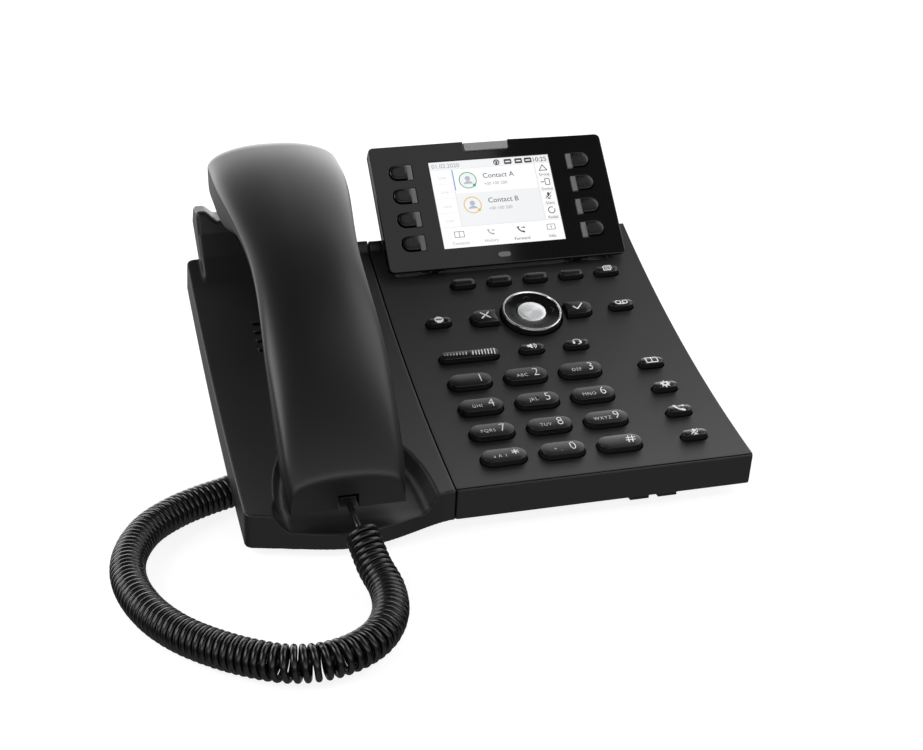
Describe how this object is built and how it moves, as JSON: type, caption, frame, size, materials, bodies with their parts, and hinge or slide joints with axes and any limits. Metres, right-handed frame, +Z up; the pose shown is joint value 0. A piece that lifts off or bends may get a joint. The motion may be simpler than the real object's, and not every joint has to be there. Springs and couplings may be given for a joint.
{
  "type": "desk ip phone",
  "caption": "Desk IP phone: curved base with a key deck, tilting colour display, cradled handset on a coiled cord, and a clip-on stand.",
  "frame": {"origin": "on the desk, below the middle of the phone's box without its cord", "axes": "+X to the phone's right as a user faces it, +Y to its back, +Z up"},
  "size_m": [0.2573, 0.2748, 0.1207],
  "materials": {
    "shell": "fine satin, charcoal",
    "underside": "fine texture, near black",
    "key": "soft satin with white printed legends",
    "gloss_black": "gloss",
    "silver": "brushed",
    "steel": "stamped",
    "rubber": "matte",
    "cord": "soft gloss jacket",
    "hook": "smooth",
    "screen": "colour display behind a clear pane",
    "light": "translucent grey",
    "board": "green solder mask",
    "transducer": "stamped frame",
    "plug": "clear moulding over the wires"
  },
  "bodies": {
    "base": {"lower_housing": "underside", "deck_housing": "shell", "deck_faceplate": "shell", "handset_cradle": "shell", "desk_stand": "underside", "front_foot_strip": "rubber", "main_board": "board", "loudspeaker": "transducer", "coiled_cord": "cord", "cord_tail_base": "cord", "base_plug": "plug"},
    "dial_key_1": {"dial_key_1": "key"},
    "dial_key_2": {"dial_key_2": "key"},
    "dial_key_3": {"dial_key_3": "key"},
    "dial_key_4": {"dial_key_4": "key"},
    "dial_key_5": {"dial_key_5": "key"},
    "dial_key_6": {"dial_key_6": "key"},
    "dial_key_7": {"dial_key_7": "key"},
    "dial_key_8": {"dial_key_8": "key"},
    "dial_key_9": {"dial_key_9": "key"},
    "dial_key_star": {"dial_key_star": "key"},
    "dial_key_0": {"dial_key_0": "key"},
    "dial_key_hash": {"dial_key_hash": "key"},
    "soft_key_1": {"soft_key_1": "key"},
    "soft_key_2": {"soft_key_2": "key"},
    "soft_key_3": {"soft_key_3": "key"},
    "soft_key_4": {"soft_key_4": "key"},
    "page_key": {"page_key": "key"},
    "do_not_disturb_key": {"do_not_disturb_key": "key"},
    "voicemail_key": {"voicemail_key": "key"},
    "cancel_key": {"cancel_key": "key"},
    "confirm_key": {"confirm_key": "key"},
    "speaker_key": {"speaker_key": "key"},
    "headset_key": {"headset_key": "key"},
    "directory_key": {"directory_key": "key"},
    "settings_key": {"settings_key": "key"},
    "hold_key": {"hold_key": "key"},
    "mute_key": {"mute_key": "key"},
    "nav_carrier": {"nav_carrier_plate": "steel"},
    "nav_ring": {"nav_ring": "gloss_black"},
    "nav_centre_button": {"nav_centre_button": "silver"},
    "volume_rocker": {"volume_rocker": "key"},
    "display_head": {"display_bezel": "gloss_black", "display_rear_cover": "underside", "lcd_module": "screen", "message_light": "light"},
    "line_key_left_1": {"line_key_left_1": "gloss_black"},
    "line_key_left_2": {"line_key_left_2": "gloss_black"},
    "line_key_left_3": {"line_key_left_3": "gloss_black"},
    "line_key_left_4": {"line_key_left_4": "gloss_black"},
    "line_key_right_1": {"line_key_right_1": "gloss_black"},
    "line_key_right_2": {"line_key_right_2": "gloss_black"},
    "line_key_right_3": {"line_key_right_3": "gloss_black"},
    "line_key_right_4": {"line_key_right_4": "gloss_black"},
    "handset": {"handset_outer_shell": "shell", "handset_inner_shell": "shell", "earpiece_capsule": "transducer", "handset_plug": "plug", "cord_tail_handset": "cord"},
    "hook_plunger": {"hook_plunger": "hook"}
  },
  "joints": [
    {"name": "handset_lift", "type": "slide", "parent": "base", "child": "handset", "axis": [0, -0.4848, 0.8746], "range_m": [0, 0.12]},
    {"name": "hook_rise", "type": "slide", "parent": "base", "child": "hook_plunger", "axis": [0, 0, 1], "range_m": [0, 0.003]},
    {"name": "display_tilt", "type": "hinge", "parent": "base", "child": "display_head", "pos_m": [0, 0.05213, 0.06122], "axis": [1, 0, 0], "range_deg": [-10, 20]},
    {"name": "volume_rock", "type": "hinge", "parent": "base", "child": "volume_rocker", "pos_m": [0.00675, -0.0035, 0.03607], "axis": [0, 0.9483, 0.3175], "range_deg": [-3.5, 3.5], "stiffness_Nm_per_rad": 0.4},
    {"name": "nav_rock_up_down", "type": "hinge", "parent": "base", "child": "nav_carrier", "pos_m": [0.04155, 0.01883, 0.04407], "axis": [1, 0, 0], "range_deg": [-3, 3], "stiffness_Nm_per_rad": 0.6},
    {"name": "nav_rock_left_right", "type": "hinge", "parent": "nav_carrier", "child": "nav_ring", "pos_m": [0.04155, 0.01883, 0.04407], "axis": [0, 0.9341, 0.357], "range_deg": [-3, 3], "stiffness_Nm_per_rad": 0.6},
    {"name": "nav_centre_press", "type": "slide", "parent": "nav_ring", "child": "nav_centre_button", "axis": [0, 0.357, -0.9341], "range_m": [0, 0.001], "stiffness_N_per_m": 400},
    {"name": "dial_key_1_press", "type": "slide", "parent": "base", "child": "dial_key_1", "axis": [0, 0.2889, -0.9574], "range_m": [0, 0.0015], "stiffness_N_per_m": 300},
    {"name": "dial_key_2_press", "type": "slide", "parent": "base", "child": "dial_key_2", "axis": [0, 0.2889, -0.9574], "range_m": [0, 0.0015], "stiffness_N_per_m": 300},
    {"name": "dial_key_3_press", "type": "slide", "parent": "base", "child": "dial_key_3", "axis": [0, 0.2889, -0.9574], "range_m": [0, 0.0015], "stiffness_N_per_m": 300},
    {"name": "dial_key_4_press", "type": "slide", "parent": "base", "child": "dial_key_4", "axis": [0, 0.2599, -0.9656], "range_m": [0, 0.0015], "stiffness_N_per_m": 300},
    {"name": "dial_key_5_press", "type": "slide", "parent": "base", "child": "dial_key_5", "axis": [0, 0.2599, -0.9656], "range_m": [0, 0.0015], "stiffness_N_per_m": 300},
    {"name": "dial_key_6_press", "type": "slide", "parent": "base", "child": "dial_key_6", "axis": [0, 0.2599, -0.9656], "range_m": [0, 0.0015], "stiffness_N_per_m": 300},
    {"name": "dial_key_7_press", "type": "slide", "parent": "base", "child": "dial_key_7", "axis": [0, 0.2306, -0.973], "range_m": [0, 0.0015], "stiffness_N_per_m": 300},
    {"name": "dial_key_8_press", "type": "slide", "parent": "base", "child": "dial_key_8", "axis": [0, 0.2306, -0.973], "range_m": [0, 0.0015], "stiffness_N_per_m": 300},
    {"name": "dial_key_9_press", "type": "slide", "parent": "base", "child": "dial_key_9", "axis": [0, 0.2306, -0.973], "range_m": [0, 0.0015], "stiffness_N_per_m": 300},
    {"name": "dial_key_star_press", "type": "slide", "parent": "base", "child": "dial_key_star", "axis": [0, 0.2011, -0.9796], "range_m": [0, 0.0015], "stiffness_N_per_m": 300},
    {"name": "dial_key_0_press", "type": "slide", "parent": "base", "child": "dial_key_0", "axis": [0, 0.2011, -0.9796], "range_m": [0, 0.0015], "stiffness_N_per_m": 300},
    {"name": "dial_key_hash_press", "type": "slide", "parent": "base", "child": "dial_key_hash", "axis": [0, 0.2011, -0.9796], "range_m": [0, 0.0015], "stiffness_N_per_m": 300},
    {"name": "soft_key_1_press", "type": "slide", "parent": "base", "child": "soft_key_1", "axis": [0, 0.3958, -0.9183], "range_m": [0, 0.0015], "stiffness_N_per_m": 300},
    {"name": "soft_key_2_press", "type": "slide", "parent": "base", "child": "soft_key_2", "axis": [0, 0.3958, -0.9183], "range_m": [0, 0.0015], "stiffness_N_per_m": 300},
    {"name": "soft_key_3_press", "type": "slide", "parent": "base", "child": "soft_key_3", "axis": [0, 0.3958, -0.9183], "range_m": [0, 0.0015], "stiffness_N_per_m": 300},
    {"name": "soft_key_4_press", "type": "slide", "parent": "base", "child": "soft_key_4", "axis": [0, 0.3958, -0.9183], "range_m": [0, 0.0015], "stiffness_N_per_m": 300},
    {"name": "page_key_press", "type": "slide", "parent": "base", "child": "page_key", "axis": [0, 0.3958, -0.9183], "range_m": [0, 0.0015], "stiffness_N_per_m": 300},
    {"name": "do_not_disturb_key_press", "type": "slide", "parent": "base", "child": "do_not_disturb_key", "axis": [0, 0.357, -0.9341], "range_m": [0, 0.0015], "stiffness_N_per_m": 300},
    {"name": "voicemail_key_press", "type": "slide", "parent": "base", "child": "voicemail_key", "axis": [0, 0.357, -0.9341], "range_m": [0, 0.0015], "stiffness_N_per_m": 300},
    {"name": "cancel_key_press", "type": "slide", "parent": "base", "child": "cancel_key", "axis": [0, 0.357, -0.9341], "range_m": [0, 0.0015], "stiffness_N_per_m": 300},
    {"name": "confirm_key_press", "type": "slide", "parent": "base", "child": "confirm_key", "axis": [0, 0.357, -0.9341], "range_m": [0, 0.0015], "stiffness_N_per_m": 300},
    {"name": "speaker_key_press", "type": "slide", "parent": "base", "child": "speaker_key", "axis": [0, 0.3182, -0.948], "range_m": [0, 0.0015], "stiffness_N_per_m": 300},
    {"name": "headset_key_press", "type": "slide", "parent": "base", "child": "headset_key", "axis": [0, 0.3182, -0.948], "range_m": [0, 0.0015], "stiffness_N_per_m": 300},
    {"name": "directory_key_press", "type": "slide", "parent": "base", "child": "directory_key", "axis": [0, 0.2889, -0.9574], "range_m": [0, 0.0015], "stiffness_N_per_m": 300},
    {"name": "settings_key_press", "type": "slide", "parent": "base", "child": "settings_key", "axis": [0, 0.2599, -0.9656], "range_m": [0, 0.0015], "stiffness_N_per_m": 300},
    {"name": "hold_key_press", "type": "slide", "parent": "base", "child": "hold_key", "axis": [0, 0.2306, -0.973], "range_m": [0, 0.0015], "stiffness_N_per_m": 300},
    {"name": "mute_key_press", "type": "slide", "parent": "base", "child": "mute_key", "axis": [0, 0.2011, -0.9796], "range_m": [0, 0.0015], "stiffness_N_per_m": 300},
    {"name": "line_key_left_1_press", "type": "slide", "parent": "display_head", "child": "line_key_left_1", "axis": [0, 0.7408, -0.6717], "range_m": [0, 0.001], "stiffness_N_per_m": 300},
    {"name": "line_key_left_2_press", "type": "slide", "parent": "display_head", "child": "line_key_left_2", "axis": [0, 0.7408, -0.6717], "range_m": [0, 0.001], "stiffness_N_per_m": 300},
    {"name": "line_key_left_3_press", "type": "slide", "parent": "display_head", "child": "line_key_left_3", "axis": [0, 0.7408, -0.6717], "range_m": [0, 0.001], "stiffness_N_per_m": 300},
    {"name": "line_key_left_4_press", "type": "slide", "parent": "display_head", "child": "line_key_left_4", "axis": [0, 0.7408, -0.6717], "range_m": [0, 0.001], "stiffness_N_per_m": 300},
    {"name": "line_key_right_1_press", "type": "slide", "parent": "display_head", "child": "line_key_right_1", "axis": [0, 0.7408, -0.6717], "range_m": [0, 0.001], "stiffness_N_per_m": 300},
    {"name": "line_key_right_2_press", "type": "slide", "parent": "display_head", "child": "line_key_right_2", "axis": [0, 0.7408, -0.6717], "range_m": [0, 0.001], "stiffness_N_per_m": 300},
    {"name": "line_key_right_3_press", "type": "slide", "parent": "display_head", "child": "line_key_right_3", "axis": [0, 0.7408, -0.6717], "range_m": [0, 0.001], "stiffness_N_per_m": 300},
    {"name": "line_key_right_4_press", "type": "slide", "parent": "display_head", "child": "line_key_right_4", "axis": [0, 0.7408, -0.6717], "range_m": [0, 0.001], "stiffness_N_per_m": 300}
  ],
  "couplings": [
    {"joint": "hook_rise", "follows": "handset_lift", "ratio": 0.025}
  ]
}
